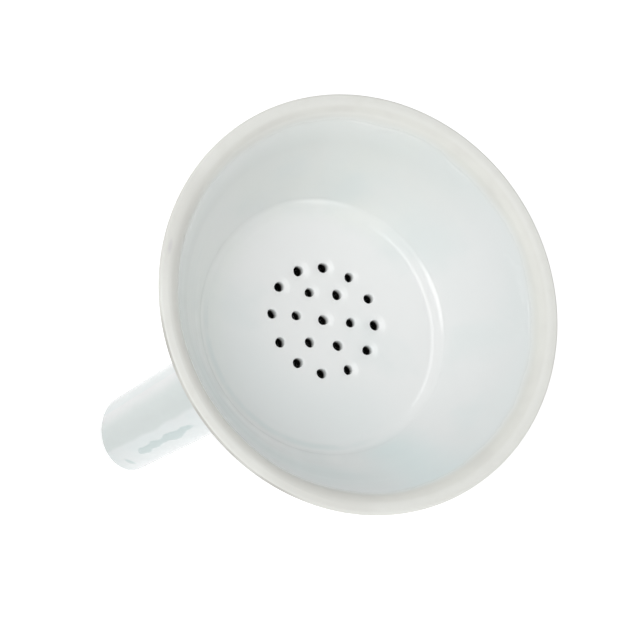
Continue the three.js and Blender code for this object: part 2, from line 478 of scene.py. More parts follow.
# Bands: the height or the radius at which a change starts, and at which it is complete.
INTO_BOWL = (PLATE_BOTTOM_Z, PLATE_TOP_Z)
OFF_MIDDLE = (8 * MM, 22 * MM)
OFF_FLOOR = (FLOOR_RADIUS - 7 * MM, FLOOR_RADIUS - 1 * MM)
ONTO_WALL = (FLOOR_RADIUS, FLOOR_RADIUS + 4 * MM)
LIGHTENED_DOWNWARDS = (PLATE_TOP_Z + 18 * MM, PLATE_TOP_Z + 3 * MM)  # painted light lightens the wall's glaze downwards
DRAINED = (LIP_BOTTOM_Z - 12 * MM, LIP_BOTTOM_Z)  # glaze drained to the lip while the mouth hung down
STEM_TO_CONE = (THROAT_Z - 28 * MM, THROAT_Z - 6 * MM)
# Painted shade: down the holes over this depth.
SHADE_DOWN_HOLES = (PLATE_TOP_Z - 0.9 * MM, PLATE_TOP_Z - 2.4 * MM)
LOW_SHOULDER = (RIM_Z - 0.7 * MM, RIM_Z - 1.5 * MM)
GROUND_FLAT = (RIM_Z - 0.45 * MM, RIM_Z - 0.10 * MM)
OUTERMOST = (MOUTH_RADIUS - 0.60 * MM, MOUTH_RADIUS - 0.30 * MM)
BELOW_LAND = (RIM_Z - 0.10 * MM, RIM_Z - 0.30 * MM)

# Where single features lie.
GLAZE_LINE_Z = LIP_BOTTOM_Z + 0.1 * MM  # the glaze ends and the bare lip starts
GLAZE_LINE_SOFT = 1.5 * MM
GLAZE_LINE_WAVER = 1.0 * MM
ROLL_TOP = (GLAZE_LINE_Z - 0.6 * MM, GLAZE_LINE_Z - 1.2 * MM)
ROLL_BOTTOM = (GLAZE_LINE_Z - 7 * MM, GLAZE_LINE_Z - 1.2 * MM)
LIT_LIP_REACH = 7 * MM  # above and below the lip's lower edge
FOOT_RADIUS = FLOOR_RADIUS + 0.2 * MM  # the pooled line along the wall's foot, partly painted crease shade
FOOT_SPREAD = 1.8 * MM
SHADE_PATCH_Z = LIP_BOTTOM_Z - 9 * MM
SHADE_PATCH_SPREAD = 11 * MM
STREAKS = (14, 40 * MM)  # how many run down the wall, and how long they are
STREAK_STRENGTH = (0.50, 0.75, 0.0, 0.35)  # the noise where they start and are full, and how strong
RUN_INSIDE = (-48, 22)  # degrees: the azimuth where glaze has run down the wall, and how far it spreads
COOL_AZIMUTHS = (-145, -110)  # degrees: the stem turns cooler this way round
FRONT_START = (-180, -153)  # degrees: the stem's painted front shade fades in over these
FRONT_END = (-117, -124)  # and out over these


def painted_light_share(n, on_wall, lit_lip):
    """How much the bowl's glaze is painted lighter: most low down on the wall's shaded side, and below the
    lip on one side.
    """
    low = n.range(n.wavering(n.z, 20 * MM, 5 * MM), *LIGHTENED_DOWNWARDS)
    share = n.blend(on_wall, 0.45, n.towards(LIGHTENED_SIDE, 0.15, 0.95))
    return n.times(n.greatest(n.times(low, share), lit_lip), n.range(n.z, *INTO_BOWL))


def pooled_glaze_and_shade(n, on_wall, lit_lip):
    """How far the glaze has pooled, in clouds and streaks, below the lip and along the wall's foot, and how
    much painted shade lies along that foot, on the plate's low side and in one patch below the lip."""
    clouds = n.patches(CLOUDS, high=0.45)
    streaks = n.times(n.range(n.streaks(*STREAKS), *STREAK_STRENGTH), on_wall)
    drained = n.range(n.wavering(n.z, 22 * MM, 6 * MM), *DRAINED, high=0.35)
    drained = n.times(drained, n.opposite(lit_lip))
    # Pooled glaze and painted crease shade along the wall's foot.
    foot = n.near(n.radius, FOOT_RADIUS, FOOT_SPREAD)
    toe = n.times(foot, n.towards(TOE_SIDE), n.patches(TOE_PATCHES, 0.3, 0.9), n.range(n.z, *INTO_BOWL))
    # Painted shade: the plate is darker on one side.
    plate_shade = n.times(n.towards(PLATE_SHADE_SIDE, high=0.4), n.range(n.radius, *OFF_MIDDLE), n.opposite(on_wall))
    # Painted shade: a darker patch below the lip on one side.
    height = n.near(n.wavering(n.z, 12 * MM, 3 * MM), SHADE_PATCH_Z, SHADE_PATCH_SPREAD)
    shade_patch = n.times(height, n.towards(SHADE_PATCH_SIDE, high=0.9))
    return n.greatest(clouds, streaks, drained, toe, plate_shade, shade_patch)


def glaze_look(n):
    """Clear feldspar glaze over white porcelain: bluer where it has pooled, with painted shade in places,
    tinted greener on the wall's shaded side as painted shade, and lighter low on the wall and below the lip
    as painted light. The funnel was dipped mouth down, so the glaze thickens towards the lip.
    Like every look, it gives a colour and a roughness."""
    on_wall = n.range(n.radius, *ONTO_WALL)
    # Painted light: the glaze just below the lip is lighter on one side.
    lit_lip = n.times(n.near(n.z, LIP_BOTTOM_Z, LIT_LIP_REACH), n.towards(LIT_LIP_SIDE, high=0.7))
    # Painted light: the glaze is lighter low on the wall, most on its shaded side.
    lightened = painted_light_share(n, on_wall, lit_lip)
    # Painted shade: the glaze is tinted greener on the wall's shaded side.
    green_shade = n.times(n.towards(GREEN_SHADE_SIDE), n.patches(GREEN_PATCHES, 0.3, 0.9), n.range(n.radius, *OFF_FLOOR))
    colour = n.mix(green_shade, n.mix(lightened, GLAZE, GLAZE_LIGHTENED), n.mix(lightened, GLAZE_GREEN_SHADE, GLAZE_GREEN_SHADE_LIGHTENED))
    colour = n.mix(pooled_glaze_and_shade(n, on_wall, lit_lip), colour, GLAZE_POOLED_AND_SHADE)
    run = n.times(n.near(n.wavering(n.angle, 20 * MM, 4), *RUN_INSIDE), on_wall)
    return n.mix(run, colour, GLAZE_COOL), n.patches(GLAZE_SHEEN, *GLAZE_ROUGHNESS)


def stem_look(n):
    """The stem's glaze: painted shade greys its front, it is cooler on one side, and a run of thick glaze on
    that side is darkened further by a painted reflection.
    """
    azimuth = n.wavering(n.angle, 16 * MM, 6)
    cool = n.times(n.range(azimuth, *COOL_AZIMUTHS, high=0.75), n.patches(COOL_PATCHES, 0.6, 1.0))
    # Painted shade: the stem is greyer down its front.
    front_shade = n.times(n.range(azimuth, *FRONT_START), n.range(azimuth, *FRONT_END), 0.9)
    colour = n.mix(cool, GLAZE, GLAZE_COOL)
    colour = n.mix(front_shade, colour, GLAZE_FRONT_SHADE)
    # The run's dark colour is thick glaze and partly a painted dark reflection.
    colour = n.mix(n.mark("run"), colour, GLAZE_DEEP_AND_REFLECTION)
    above, rough = glaze_look(n)
    upwards = n.range(n.wavering(n.z, 20 * MM, 5 * MM), *STEM_TO_CONE)
    return n.mix(upwards, colour, above), rough


def bare_look(n):
    """The bare body: matte, warm and slightly gritty. Painted light lightens its land and one side of its
    shoulder, and painted shade darkens one side of its outermost edge.
    """
    shoulder = n.mix(n.patches(GREY_PATCHES, high=0.8), BARE, BARE_GREY)
    # Painted light: the shoulder just below the land is lighter on one side.
    lit_shoulder = n.times(n.range(n.z, *LOW_SHOULDER), n.towards(LIT_LIP_SIDE))
    shoulder = n.mix(lit_shoulder, shoulder, BARE_LIT)
    # Painted light: the ground land is laid lighter than the shoulder.
    lit_land = n.mix(n.patches(LAND_PATCHES, high=0.6), LAND_LIT, BARE)
    colour = n.mix(n.range(n.z, *GROUND_FLAT), shoulder, lit_land)
    dull = n.times(n.greatest(*[n.towards(side) for side in DULL_SIDES]), 0.6)
    colour = n.mix(dull, colour, BARE_GREY)
    colour = n.mix(n.times(n.mark("scar"), 0.7), colour, SCAR)
    # Painted shade darkens the lip's outermost edge on one side.
    edge = n.times(n.range(n.radius, *OUTERMOST), n.range(n.z, *BELOW_LAND), n.patches(EDGE_SHADE_PATCHES, low=0.4))
    colour = n.mix(n.times(edge, n.towards(EDGE_SHADE_SIDE)), colour, EDGE_SHADE)
    return colour, n.patches(BARE_SHEEN, *BARE_ROUGHNESS)


def glaze_line(n):
    """How bare the body is, from 0 to 1, and how thick the glaze lies beside its soft wavering edge."""
    level = n.wavering(n.z, 16 * MM, GLAZE_LINE_WAVER)
    bareness = n.range(level, GLAZE_LINE_Z - GLAZE_LINE_SOFT, GLAZE_LINE_Z + GLAZE_LINE_SOFT)
    rolled = n.times(n.patches(ROLLED_PATCHES, low=0.1), n.towards(ROLLED_SIDE))
    return bareness, n.times(n.range(level, *ROLL_TOP), n.range(level, *ROLL_BOTTOM), rolled)


def porcelain(name, shaded_holes=False, stem=False):
    """Fired porcelain, glazed below a soft wavering line round the mouth and bare above it. The one for the
    holes darkens down them with painted shade."""
    n = SurfaceNodes(name)
    glazed, glazed_roughness = stem_look(n) if stem else glaze_look(n)
    bare, bare_roughness = bare_look(n)
    bareness, roll = glaze_line(n)
    colour = n.mix(bareness, glazed, bare)
    if shaded_holes:
        # Painted shade darkens the holes' walls down into them.
        colour = n.mix(n.range(n.wavering(n.z, 2 * MM, 0.3 * MM), *SHADE_DOWN_HOLES), colour, HOLE_SHADE)
    peel = n.times(n.noise(PEEL_SIZE), n.opposite(bareness))
    grain = n.times(n.noise(GRAIN_SIZE), bareness)
    raised = n.bump(roll, ROLL_HEIGHT, n.bump(peel, PEEL_HEIGHT))
    n.feed(n.shader.inputs["Base Color"], colour)
    n.feed(n.shader.inputs["Roughness"], n.blend(bareness, glazed_roughness, bare_roughness))
    n.feed(n.shader.inputs["Normal"], n.bump(grain, GRAIN_HEIGHT, raised))
    n.feed(n.shader.inputs["IOR"], GLAZE_IOR)
    return n.material


# ---- Pieces ----


def on_inner_side(radius, z):
    """Whether a place lies on the inner side of the wall's middle line."""
    return radius < outside_radius(z) - WALL_ACROSS / 2


def side_marks(outline):
    """1 for each point of an outline on the inner side of the wall, else 0."""
    return [float(on_inner_side(*point)) for point in outline]


# How steeply the slip rises, in degrees, at distances in mm outside the plate's level top: level on the
# plate, gentle over the bead, and nearly as steep as the wall where it meets it.
FLARE_REACH = (-1.9, -1.3, -0.4, 0.0, 1.15, 1.55, 1.9, 2.15)
FLARE_TILT = (0, 5, 15, 21.5, 28, 37, 46, 54)
FLARE_RADII = FLOOR_RADIUS + np.linspace(FLARE_REACH[0], FLARE_REACH[-1], 240) * MM
FLARE_STEPS = np.tan(np.radians(np.interp((FLARE_RADII - FLOOR_RADIUS) / MM, FLARE_REACH, FLARE_TILT)))
FLARE_RISE = (np.cumsum(FLARE_STEPS) - FLARE_STEPS / 2) * (FLARE_RADII[1] - FLARE_RADII[0])
FLARE_HEAD_RADIUS = FLARE_RADII[-1]
FLARE_HEAD_Z = PLATE_TOP_Z + FLARE_RISE[-1]
WALL_FLARE = inside_radius(FLARE_HEAD_Z) - FLARE_HEAD_RADIUS  # how far the wall's foot stands in
WALL_FLARE_HEIGHT = 2 * WALL_FLARE / (1 / tan(radians(FLARE_TILT[-1])) - SLOPE)
FLANGE_FADE = 1 * MM  # these soft shapes fade in over this above the flange
DRAWN_SIDE = radians(95)  # the side where the slip was drawn further in over the plate
DRAWN_SPAN = radians(125)
DRAWN_IN = 0.9 * MM
DRAWN_HEIGHT = 14 * MM  # how far up the wall it fades out
DRAWN_REACH = 4 * MM  # how far in over the plate it fades out


def flare_rise(radius):
    """How far the plate or the bead stands above the plate's level top."""
    return np.interp(radius, FLARE_RADII, FLARE_RISE, left=0.0)


def above_flange(z):
    """0 at the flange, and 1 a little way above it."""
    return smooth((z - FLANGE_TOP_Z) / FLANGE_FADE)


def wall_face(z):
    """The radius of the wall's inner face, which curves in above the bead."""
    above = max(0.0, 1 - (z - FLARE_HEAD_Z) / WALL_FLARE_HEIGHT) if z > FLARE_HEAD_Z else 1.0
    return inside_radius(z) - WALL_FLARE * above**2 * float(above_flange(z))


def drawn_in(points):
    """Moves the wall's foot, the bead and the plate's edge in together where more slip was drawn in."""
    radius = radii(points)
    z = points[:, 2]
    away = np.abs((azimuths(points) - DRAWN_SIDE + pi) % (2 * pi) - pi)
    side = smooth(1.6 * (1 - away / DRAWN_SPAN))
    up = smooth(1 - (z - FLARE_HEAD_Z) / DRAWN_HEIGHT)
    off_middle = smooth((radius - FLOOR_RADIUS + DRAWN_REACH) / DRAWN_REACH)
    return moved_out(points, -DRAWN_IN * side * up * above_flange(z) * off_middle * on_inner_side(radius, z))


WALL_STEP = 0.6 * MM  # between the wall's rings
ACROSS_STEP = 0.7 * MM  # between the rings across its ends


def wall_stretch(bottom_z, top_z):
    """Vertices and faces of a stretch of the conical wall. The bowl's inner face curves in above the bead."""
    outside_top = (outside_radius(top_z), top_z)
    outside_bottom = (outside_radius(bottom_z), bottom_z)
    inside_top = (inside_radius(top_z), top_z)
    inside = [inside_top, *line(inside_top, (inside_radius(bottom_z), bottom_z), WALL_STEP)]
    if bottom_z == FLANGE_TOP_Z:
        inside = [(wall_face(z), z) for _, z in inside]
    outline = [
        *line(outside_bottom, outside_top, WALL_STEP),
        *line(outside_top, inside[0], ACROSS_STEP),
        *inside[1:],
        *line(inside[-1], outside_bottom, ACROSS_STEP),
    ]
    return shaped(outline, side_marks(outline))


LIP_OUTER_ROUND = 0.8 * MM
LAND_INNER_RADIUS = inside_radius(RIM_Z) + 1.70 * MM
LAND_EDGE_TILT = radians(13)  # the ground land cuts the lip's rounded shoulder at this angle
LAND_SHARES = (0.2, 0.4, 0.6, 0.8, 0.93)  # where rings lie across the land
WORN_INNER_RADIUS = inside_radius(RIM_Z) + 2.1 * MM  # where the lip starts to roll over on its rounder side
WORN_EDGE_TILT = radians(2)
GROUND_FROM = radians(182)  # the land has a crisp inner edge from here
GROUND_TO = radians(292)
GROUND_FADES = (radians(7), radians(25))  # over how far that edge starts and ends
SCAR_AT = radians(186)
SCAR_LENGTH = 2.2 * MM
SCAR_WIDTH = 0.6 * MM
SCAR_IN = 0.3 * MM  # from the land's inner edge
SCAR_DEPTH = 0.05 * MM


def lip_outline(land_radius, edge_tilt):
    """The lip: an outer round, a level land in to land_radius, and a shoulder that starts at edge_tilt."""
    tangent_radius = MOUTH_RADIUS - LIP_OUTER_ROUND * (1 - cos(LEAN))
    outer_tangent = (tangent_radius, outside_height(tangent_radius))
    land_outer = (MOUTH_RADIUS - LIP_OUTER_ROUND, RIM_Z)
    land_inner = (land_radius, RIM_Z)
    steep = pi / 2 - LEAN
    chord = (edge_tilt + steep) / 2
    across = (land_radius - inside_radius(RIM_Z)) / (1 - SLOPE * tan(chord))
    inner_tangent = (land_radius - across, RIM_Z - across * tan(chord))
    bottom_outer = (outside_radius(LIP_BOTTOM_Z), LIP_BOTTOM_Z)
    bottom_inner = (inside_radius(LIP_BOTTOM_Z), LIP_BOTTOM_Z)
    return [
        *line(bottom_outer, outer_tangent, 0.4 * MM),
        *arc(outer_tangent, land_outer, pi / 2 + LEAN, 12),
        *between(land_outer, land_inner, LAND_SHARES),
        land_inner,
        *arc(land_inner, inner_tangent, steep - edge_tilt, 16),
        *between(inner_tangent, bottom_inner, (0.25, 0.5, 0.75, 1)),
        *line(bottom_inner, bottom_outer, ACROSS_STEP),
    ]


def scar_share(points, theta):
    """Where a small scar lies on the land's inner edge, from 0 to 1."""
    along = (theta - SCAR_AT) * radii(points) / SCAR_LENGTH
    across = (radii(points) - LAND_INNER_RADIUS - SCAR_IN) / SCAR_WIDTH
    on_top = points[:, 2] > LIP_BOTTOM_Z + 1 * MM
    return smooth(1.2 - np.hypot(along, across)) * on_top


def bare_lip(material):
    """The lip: ground flat with a crisp inner edge on one side, and rounder on the rest."""
    ground = lip_outline(LAND_INNER_RADIUS, LAND_EDGE_TILT)
    points, faces = turned(ground)
    worn, _ = turned(lip_outline(WORN_INNER_RADIUS, WORN_EDGE_TILT))
    theta = azimuths(points) % (2 * pi)
    crisp = smooth((theta - GROUND_FROM) / GROUND_FADES[0]) * smooth((GROUND_TO - theta) / GROUND_FADES[1])
    points = points * crisp[:, None] + worn * (1 - crisp[:, None])
    points = hand_made(points, np.repeat(side_marks(ground), AROUND))
    scar = scar_share(points, theta)
    points[:, 2] -= SCAR_DEPTH * scar
    build("bare_lip", points, faces, "rim_lip", [material], marks={"scar": scar})


def glazed_bowl(material):
    """The bowl's wall, from the plate's flange up to the lip."""
    points, faces = wall_stretch(FLANGE_TOP_Z, LIP_BOTTOM_Z)
    build("glazed_bowl", drawn_in(points), faces, "bowl_wall", [material])


BEAD_SUNK = 0.02 * MM  # behind the wall's face
BEAD_REACH = 2.5 * MM  # how far in over the plate the finger pressed


def slip_bead(material):
    """The bead of slip that joins the plate to the wall."""
    levels = np.linspace(FLANGE_TOP_Z, FLARE_HEAD_Z, 9)
    back = [(wall_face(z) + BEAD_SUNK, z) for z in levels[:-1]]
    reaches = np.linspace(FLARE_HEAD_RADIUS, FLOOR_RADIUS, 40)
    face = [(radius, PLATE_TOP_Z + float(flare_rise(radius))) for radius in reaches]
    foot = (FLOOR_RADIUS, FLANGE_TOP_Z)
    outline = [*back, *face, *line(face[-1], foot, 0.4 * MM), *line(foot, back[0], 0.5 * MM)[:-1]]
    points, faces = shaped(outline, [1.0] * len(outline))
    points = drawn_in(finger_pressed(points))
    build("slip_bead", points, faces, "plate_fillet", [material])


def finger_pressed(points):
    """Presses the slip between plate and wall up and down a little, as a wet finger leaves it."""
    radius = radii(points)
    onto_bead = smooth((radius - FLOOR_RADIUS + BEAD_REACH) / BEAD_REACH)
    off_wall = smooth((FLARE_HEAD_RADIUS - radius) / MM)
    flat = points * np.array([1, 1, 0])
    lift = 0.03 * MM * ripple(flat, 7 * MM, seed=5.0) + 0.012 * MM * ripple(flat, 2.6 * MM, seed=6.0)
    pressed = points.copy()
    pressed[:, 2] += lift * onto_bead * off_wall * above_flange(points[:, 2])
    return pressed


HOLE_SIDES = 40
HOLE_TURN = 2 * pi * np.arange(HOLE_SIDES) / HOLE_SIDES
HOLE_UNIT = np.column_stack([np.cos(HOLE_TURN), np.sin(HOLE_TURN)])
HOLE_GROWTH = 1.06  # the pierced holes are this much wider than the model's, give or take HOLE_SPREAD
HOLE_SPREAD = 0.05
HOLE_WOBBLES = (0.04, 0.025)  # how oval and how three-cornered the holes are, as shares of their radius
MOUTH_ROUND = 0.40 * MM
DIMPLE_REACH = 1.6 * MM  # how far the softened mouth of a hole reaches past its wall
DIMPLE_CURVE = 1.35  # 1 is a straight slope to the hole, and more is steeper beside it
DIMPLE_SHARES = (1, 0.85, 0.7, 0.55, 0.4, 0.3, 0.2, 0.1, 0)  # where rings lie in from a dimple's edge
BORE_SHARES = (0.1, 0.2, 0.35, 0.5, 0.75, 1)  # where rings lie down a hole's wall
# How deep the softened mouth of each hole is, in mm: some were pressed harder, and catch more light.
DIMPLE_DEPTHS = (
    *(0.26, 0.26, 0.20, 0.28, 0.06, 0.28, 0.27, 0.28, 0.06, 0.06),
    *(0.06, 0.06, 0.06, 0.28, 0.22, 0.08, 0.22, 0.20, 0.08),
)
PLATE_WAVE = 0.045 * MM  # the unevenness of the plate's middle
SHEET_RADIUS = FLOOR_RADIUS - 3.2 * MM  # the plate's top is a free sheet inside this and rings outside it
SHEET_SPACING = 1.0 * MM
ROW_PITCH = sqrt(3) / 2  # between a triangular grid's rows, as a share of its spacing
EDGE_STEPS = np.array([2.6, 2.1, 1.7, 1.5, 1.35, 1.2, 1.05, 0.9, 0.75, 0.6, 0.45, 0.3, 0.15, 0.0]) * MM


def hole_profile(radius, dimple):
    """Points (radius, depth) from the plate's top at the dimple's edge, down the hole, to its lower edge."""
    edge = radius + DIMPLE_REACH
    lean = atan2(DIMPLE_CURVE * dimple, DIMPLE_REACH - MOUTH_ROUND / 2)
    mouth = radius + MOUTH_ROUND * (1 - sin(lean))
    power = tan(lean) * (edge - mouth) / dimple
    slope = [(mouth + (edge - mouth) * s, -dimple * (1 - s) ** power) for s in DIMPLE_SHARES]
    foot = PLATE_BOTTOM_Z - PLATE_TOP_Z
    wall_top = (radius, -dimple - MOUTH_ROUND * cos(lean))
    wall_bottom = (radius, foot + MOUTH_ROUND)
    return [
        *slope,
        *arc(slope[-1], wall_top, pi / 2 - lean, 7),
        *between(wall_top, wall_bottom, BORE_SHARES),
        *arc(wall_bottom, (radius + MOUTH_ROUND, foot), pi / 2, 5),
    ]


def plate_top(points):
    """Lays level points on the plate's top: a slight unevenness in the middle and the rise at its edge."""
    radius = radii(points)
    flat = points * np.array([1, 1, 0])
    middle = smooth((FLOOR_RADIUS - radius) / (6 * MM))
    laid = points.copy()
    laid[:, 2] = PLATE_TOP_Z + PLATE_WAVE * ripple(flat, 12 * MM, seed=1.0) * middle + flare_rise(radius)
    return laid


def flat_sheet(rings, spacing):
    """A triangulation of the disc inside the first ring and outside the others, with a grid of points in it.
    The rings' points come first, in order."""
    coords = []
    edges = []
    for ring in rings:
        start = len(coords)
        coords += [Vector(p) for p in ring]
        edges += [(start + i, start + (i + 1) % len(ring)) for i in range(len(ring))]
    middles = np.array([np.mean(ring, axis=0) for ring in rings[1:]])
    reaches = np.array([np.linalg.norm(ring[0] - np.mean(ring, axis=0)) for ring in rings[1:]])
    rows = int(SHEET_RADIUS / spacing) + 2
    for i in range(-rows, rows + 1):
        for j in range(-rows, rows + 1):
            p = np.array([(i + 0.5 * (j % 2)) * spacing, j * spacing * ROW_PITCH])
            clear = np.linalg.norm(middles - p, axis=1) > reaches + 0.5 * spacing
            if clear.all() and np.linalg.norm(p) < SHEET_RADIUS - 0.6 * spacing:
                coords.append(Vector(p))
    points, _, faces, originals, *_ = delaunay_2d_cdt(coords, edges, [], 0, 1e-9)
    assert len(points) == len(coords)
    order = np.array([numbers[0] for numbers in originals])
    points = np.array([tuple(p) for p in points])
    placed = np.empty_like(points)
    placed[order] = points
    kept = []
    for face in faces:
        away = np.linalg.norm(middles - points[list(face)].mean(0), axis=1)
        if (away > reaches * 0.999).all():
            kept.append(tuple(int(order[i]) for i in face))
    return placed, kept


class Mesh:
    """Points and faces that grow ring by ring."""

    def __init__(self):
        self.points = np.empty((0, 3))
        self.faces = []

    def add(self, points):
        """Adds points and gives their numbers."""
        first = len(self.points)
        self.points = np.vstack([self.points, points])
        return np.arange(first, len(self.points))


def pierced_plate(material, shaded_holes):
    """The plate: a free sheet round the holes above and below, rings out to its edge, and the holes' walls.
    Those walls take the material with painted shade down the holes."""
    rings = [circle(SHEET_RADIUS, 0)[:, :2]]
    rings += [middle + HOLE_UNIT * (radius + DIMPLE_REACH) for middle, radius in HOLES]
    flat, sheet = flat_sheet(rings, SHEET_SPACING)
    mesh = Mesh()
    level = np.column_stack([flat, np.zeros(len(flat))])
    top = mesh.add(plate_top(level))
    bottom = mesh.add(level + np.array([0, 0, PLATE_BOTTOM_Z]))
    mesh.faces += sheet
    mesh.faces += [tuple(int(bottom[i]) for i in reversed(face)) for face in sheet]
    darker = []
    for index, (middle, radius) in enumerate(HOLES):
        ring = AROUND + index * HOLE_SIDES + np.arange(HOLE_SIDES)
        darker += add_hole(mesh, top[ring], bottom[ring], middle, radius, index)
    add_edge(mesh, top[:AROUND], bottom[:AROUND])
    points = drawn_in(finger_pressed(mesh.points))
    build("pierced_plate", points, mesh.faces, "filter_plate", [material, shaded_holes], darker=darker)


def add_hole(mesh, previous, last, middle, radius, index):
    """One hole's dimple and wall, pierced by hand, so each is different. Gives its wall faces' numbers."""
    oval = HOLE_WOBBLES[0] * np.cos(2 * HOLE_TURN + 1.7 * index)
    wobble = oval + HOLE_WOBBLES[1] * np.cos(3 * HOLE_TURN + 2.3 * index)
    size = radius * (HOLE_GROWTH + HOLE_SPREAD * sin(2.1 * index))
    dimple = DIMPLE_DEPTHS[index] * MM
    outer = radius + DIMPLE_REACH
    walls = []
    for reach, depth in hole_profile(size, dimple)[1:]:
        share = smooth((outer - reach) / (outer - size))
        xy = middle + HOLE_UNIT * (reach * (1 + wobble * share))[:, None]
        ring = np.column_stack([xy, np.zeros(HOLE_SIDES)])
        from_top = depth > -(dimple + 2 * MOUTH_ROUND)
        ring[:, 2] = depth + (plate_top(ring)[:, 2] if from_top else PLATE_TOP_Z)
        current = mesh.add(ring)
        if depth < -dimple:
            walls += range(len(mesh.faces), len(mesh.faces) + HOLE_SIDES)
        mesh.faces += strip(previous, current)
        previous = current
    mesh.faces += strip(previous, last)
    return walls


def add_edge(mesh, top, bottom):
    """The plate's top outside the sheet, its raised step, its flange, and back under to the sheet's edge."""
    previous = top
    for step in EDGE_STEPS:
        ring = circle(FLOOR_RADIUS - step, PLATE_TOP_Z)
        share = smooth((FLOOR_RADIUS - SHEET_RADIUS - step) / (FLOOR_RADIUS - SHEET_RADIUS))
        ring = ring + (hand_made(ring, 1.0) - ring) * share
        current = mesh.add(plate_top(ring))
        mesh.faces += strip(current, previous)
        previous = current
    step_head = (FLOOR_RADIUS, PLATE_TOP_Z + float(flare_rise(FLOOR_RADIUS)))
    step_foot = (FLOOR_RADIUS, FLANGE_TOP_Z)
    flange_top = (outside_radius(FLANGE_TOP_Z), FLANGE_TOP_Z)
    flange_foot = (outside_radius(PLATE_BOTTOM_Z), PLATE_BOTTOM_Z)
    path = [
        (step_head, step_foot, 0.5 * MM, 1.0),
        (step_foot, flange_top, 0.8 * MM, 0.0),
        (flange_top, flange_foot, 0.5 * MM, 0.0),
        (flange_foot, (FLOOR_RADIUS, PLATE_BOTTOM_Z), 0.8 * MM, 0.0),
    ]
    for start, end, spacing, inside in path:
        for radius, z in line(start, end, spacing):
            current = mesh.add(hand_made(circle(radius, z), inside))
            mesh.faces += strip(current, previous)
            previous = current
    mesh.faces += strip(bottom, previous)


def collecting_cone(material):
    """The cone under the plate, down to the stem."""
    points, faces = wall_stretch(THROAT_Z, PLATE_BOTTOM_Z)
    build("collecting_cone", points, faces, "collector_cone", [material])


FILLET_PROUD = 0.02 * MM  # its lower edge stands just off the stem
FILLET_SUNK = 0.5 * MM  # and its inner side lies inside the stem


def slip_fillet(material):
    """The hollow fillet of slip between the cone and the stem."""
    shoulder = (outside_radius(THROAT_Z), THROAT_Z)
    toe = (STEM_TOP_RADIUS + FILLET_PROUD, FILLET_LOW.z)
    inner_top = (STEM_TOP_RADIUS - FILLET_SUNK, THROAT_Z)
    inner_bottom = (STEM_TOP_RADIUS - FILLET_SUNK, FILLET_LOW.z)
    outline = [
        *line(inner_bottom, toe, 0.3 * MM),
        *arc(toe, shoulder, -LEAN, 10),
        *line(shoulder, inner_top, 0.8 * MM),
        *line(inner_top, inner_bottom, 0.8 * MM),
    ]
    points, faces = shaped(outline, [0.0] * len(outline))
    build("slip_fillet", points, faces, "stem_fillet", [material])


STEM_AROUND = 300
STEM_ROUND = 1.3 * MM  # on the tip's outer edge
BORE_ROUND = 0.8 * MM  # on the tip's inner edge
STEM_INSET = 0.08 * MM  # keeps the uneven glaze inside the stem's nominal size
STEM_WAVE = 0.06 * MM  # the unevenness of its glaze, in long waves and fine ones
STEM_FINE_WAVE = 0.012 * MM
RUN_ANGLE = radians(-96)  # where round the stem the glaze has run
RUN_THICKNESS = 0.09 * MM
RUN_EDGE = 0.6  # mm over which its edges fade
# The run's edges either side of its middle, in mm, at distances in mm down from the throat.
RUN_DOWN = (42, 46, 51, 55, 59, 63, 67, 71, 76, 81, 86, 89, 91.5)
RUN_LEFT = (0.3, 1.2, 1.5, 1.2, 1.7, 1.8, 1.3, 1.2, 1.8, 1.2, 1.6, 1.2, 0.0)
RUN_RIGHT = (0.1, 0.2, 0.5, 1.1, 1.7, 1.8, 0.7, 0.6, 1.2, 0.8, 1.5, 1.0, 0.3)
DRIP_ANGLE = radians(-88.5)  # a last drop below the run
DRIP_Z = THROAT_Z - 103.8 * MM
DRIP_WIDTH = 1.7 * MM
DRIP_HEIGHT = 1.6 * MM


def stem_outline():
    """The stem's outline above a square tip: (radius, height), with heights from the tip's middle plane."""
    top = THROAT_Z - TIP_MIDDLE_Z
    outer_top = (STEM_TOP_RADIUS, top)
    outer_tip = (TIP_RADIUS, STEM_ROUND)
    face_outer = (TIP_RADIUS - STEM_ROUND, 0)
    face_inner = (BORE_RADIUS + BORE_ROUND, 0)
    bore_tip = (BORE_RADIUS, BORE_ROUND)
    bore_top = (BORE_RADIUS, outside_height(BORE_RADIUS + WALL_ACROSS) - TIP_MIDDLE_Z)
    mouth = (inside_radius(THROAT_Z), top)
    return [
        *line(mouth, bore_top, 1.0 * MM),
        *line(bore_top, bore_tip, 1.5 * MM),
        *arc(bore_tip, face_inner, pi / 2, 8),
        *line(face_inner, face_outer, 0.4 * MM),
        *arc(face_outer, outer_tip, pi / 2, 10),
        *line(outer_tip, outer_top, 0.6 * MM),
        *line(outer_top, mouth, 0.8 * MM),
    ]


def glaze_run(points):
    """Where the glaze has run down the stem, from 0 to 1: a wavy tongue with a drop below it."""
    radius = radii(points)
    angle = azimuths(points)
    down = (THROAT_Z - points[:, 2]) / MM
    sway = 0.3 * ripple(points * np.array([0, 0, 1]), 4 * MM, seed=12.0)
    across = (angle - RUN_ANGLE) * radius / MM + sway
    right = np.interp(down, RUN_DOWN, RUN_RIGHT) - across
    left = np.interp(down, RUN_DOWN, RUN_LEFT) + across
    tongue = smooth(0.5 + np.minimum(left, right) / RUN_EDGE)
    tongue *= smooth((down - RUN_DOWN[0]) / 5) * smooth((RUN_DOWN[-1] - down) / 1.0)
    drip_across = (angle - DRIP_ANGLE) * radius / DRIP_WIDTH
    drip_up = (points[:, 2] - DRIP_Z) / DRIP_HEIGHT + 0.3 * drip_across
    drip = smooth(1.5 - np.hypot(drip_across, drip_up))
    return np.maximum(tongue, drip) * (radius > (BORE_RADIUS + TIP_RADIUS) / 2)


